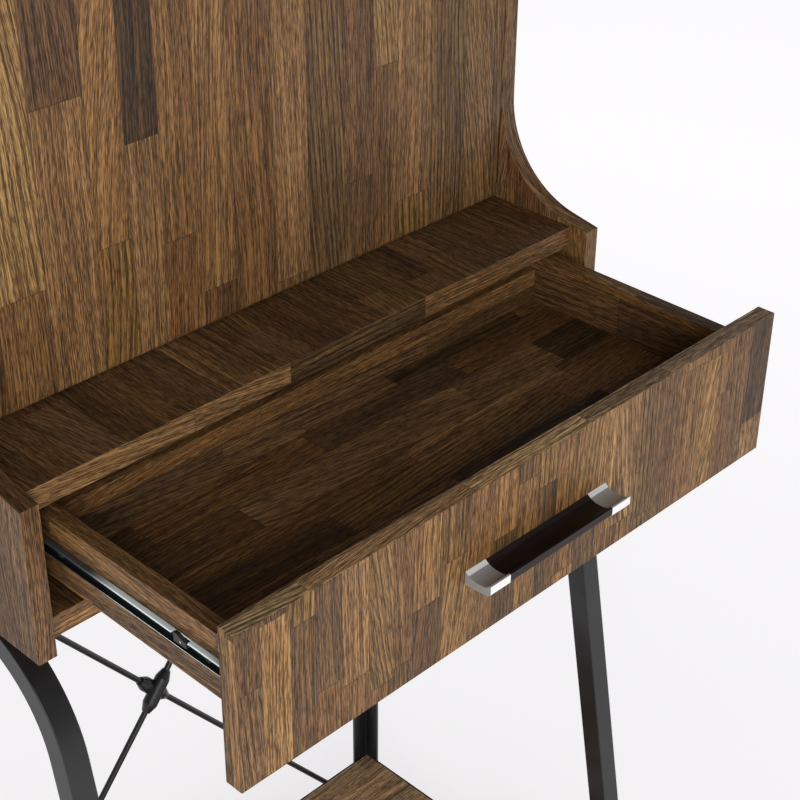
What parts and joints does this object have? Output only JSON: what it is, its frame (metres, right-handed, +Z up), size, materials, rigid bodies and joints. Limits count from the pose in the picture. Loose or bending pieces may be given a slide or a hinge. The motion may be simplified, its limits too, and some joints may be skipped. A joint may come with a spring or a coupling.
{
  "type": "drop-front desk",
  "caption": "Narrow standing desk: staved-wood cabinet with a pull-out drawer and a fold-down leaf on a splayed black steel frame with a crossed rod brace and a low shelf.",
  "frame": {"origin": "on the floor, under the middle of the desk's overall box with the drawer pulled out as at rest", "axes": "+X to the desk's right, +Y to its back, +Z up"},
  "size_m": [0.576, 0.4952, 1.29],
  "materials": {
    "staved_wood": "satin",
    "back_fibreboard": "matt",
    "dowel_beech": "matt",
    "black_steel": "satin powder coat",
    "black_fasteners": "satin",
    "zinc_slide_steel": "zinc plated",
    "zinc_screws": "zinc plated",
    "black_plastic": "moulded",
    "brass": "turned",
    "bronze_grip": "satin",
    "nickel_caps": "brushed"
  },
  "bodies": {
    "frame": {"back_panel": "back_fibreboard", "back_panel_screws": "zinc_screws", "bottom_board": "staved_wood", "brace_bolts": "black_fasteners", "brace_hub": "black_steel", "brace_nuts": "black_fasteners", "brace_rod_lower_left": "black_steel", "brace_rod_lower_right": "black_steel", "brace_rod_upper_left": "black_steel", "brace_rod_upper_right": "black_steel", "cabinet_slide_screws": "zinc_screws", "frame_bolts": "black_fasteners", "front_feet": "black_plastic", "front_low_shelf_rail": "black_steel", "inner_divider": "staved_wood", "inner_shelf": "staved_wood", "leaf_catch": "black_plastic", "leaf_pins": "zinc_slide_steel", "left_cabinet_slide": "zinc_slide_steel", "left_front_leg": "black_steel", "left_low_shelf_rail": "black_steel", "left_rear_leg": "black_steel", "left_side_panel": "staved_wood", "low_shelf_board": "staved_wood", "low_shelf_screws": "zinc_screws", "panel_dowels": "dowel_beech", "rear_feet": "black_plastic", "rear_low_shelf_rail": "black_steel", "right_cabinet_slide": "zinc_slide_steel", "right_front_leg": "black_steel", "right_low_shelf_rail": "black_steel", "right_rear_leg": "black_steel", "right_side_panel": "staved_wood", "shelf_board": "staved_wood", "top_board": "staved_wood"},
    "drawer": {"drawer_front": "staved_wood", "left_drawer_side": "staved_wood", "right_drawer_side": "staved_wood", "drawer_back": "staved_wood", "drawer_bottom": "staved_wood", "drawer_dowels": "dowel_beech", "left_drawer_slide": "zinc_slide_steel", "right_drawer_slide": "zinc_slide_steel", "drawer_slide_screws": "zinc_screws", "handle_grip": "bronze_grip", "handle_left_cap": "nickel_caps", "handle_right_cap": "nickel_caps", "handle_screws": "zinc_screws"},
    "left_retainer": {"left_ball_retainer": "zinc_slide_steel"},
    "right_retainer": {"right_ball_retainer": "zinc_slide_steel"},
    "left_lever": {"left_release_lever": "black_plastic"},
    "right_lever": {"right_release_lever": "black_plastic"},
    "leaf": {"drop_leaf": "staved_wood", "leaf_bushes": "brass", "leaf_strike_plate": "zinc_slide_steel", "leaf_handle_grip": "bronze_grip", "leaf_handle_left_cap": "nickel_caps", "leaf_handle_right_cap": "nickel_caps", "leaf_handle_screws": "zinc_screws"}
  },
  "joints": [
    {"name": "drawer_slide", "type": "slide", "parent": "frame", "child": "drawer", "axis": [0, -1, 0], "range_m": [-0.1875, 0.003]},
    {"name": "left_retainer_roll", "type": "slide", "parent": "frame", "child": "left_retainer", "axis": [0, -1, 0], "range_m": [-0.09375, 0.0015]},
    {"name": "right_retainer_roll", "type": "slide", "parent": "frame", "child": "right_retainer", "axis": [0, -1, 0], "range_m": [-0.09375, 0.0015]},
    {"name": "leaf_hinge", "type": "hinge", "parent": "frame", "child": "leaf", "pos_m": [0, 0.06295, 0.876], "axis": [1, 0, 0], "range_deg": [0, 90]},
    {"name": "left_lever_pivot", "type": "hinge", "parent": "drawer", "child": "left_lever", "pos_m": [-0.263, -0.16405, 0.825], "axis": [1, 0, 0], "range_deg": [-6, 6], "stiffness_Nm_per_rad": 0.02},
    {"name": "right_lever_pivot", "type": "hinge", "parent": "drawer", "child": "right_lever", "pos_m": [0.263, -0.16405, 0.825], "axis": [1, 0, 0], "range_deg": [-6, 6], "stiffness_Nm_per_rad": 0.02}
  ],
  "couplings": [
    {"joint": "left_retainer_roll", "follows": "drawer_slide", "ratio": 0.5},
    {"joint": "right_retainer_roll", "follows": "drawer_slide", "ratio": 0.5}
  ]
}
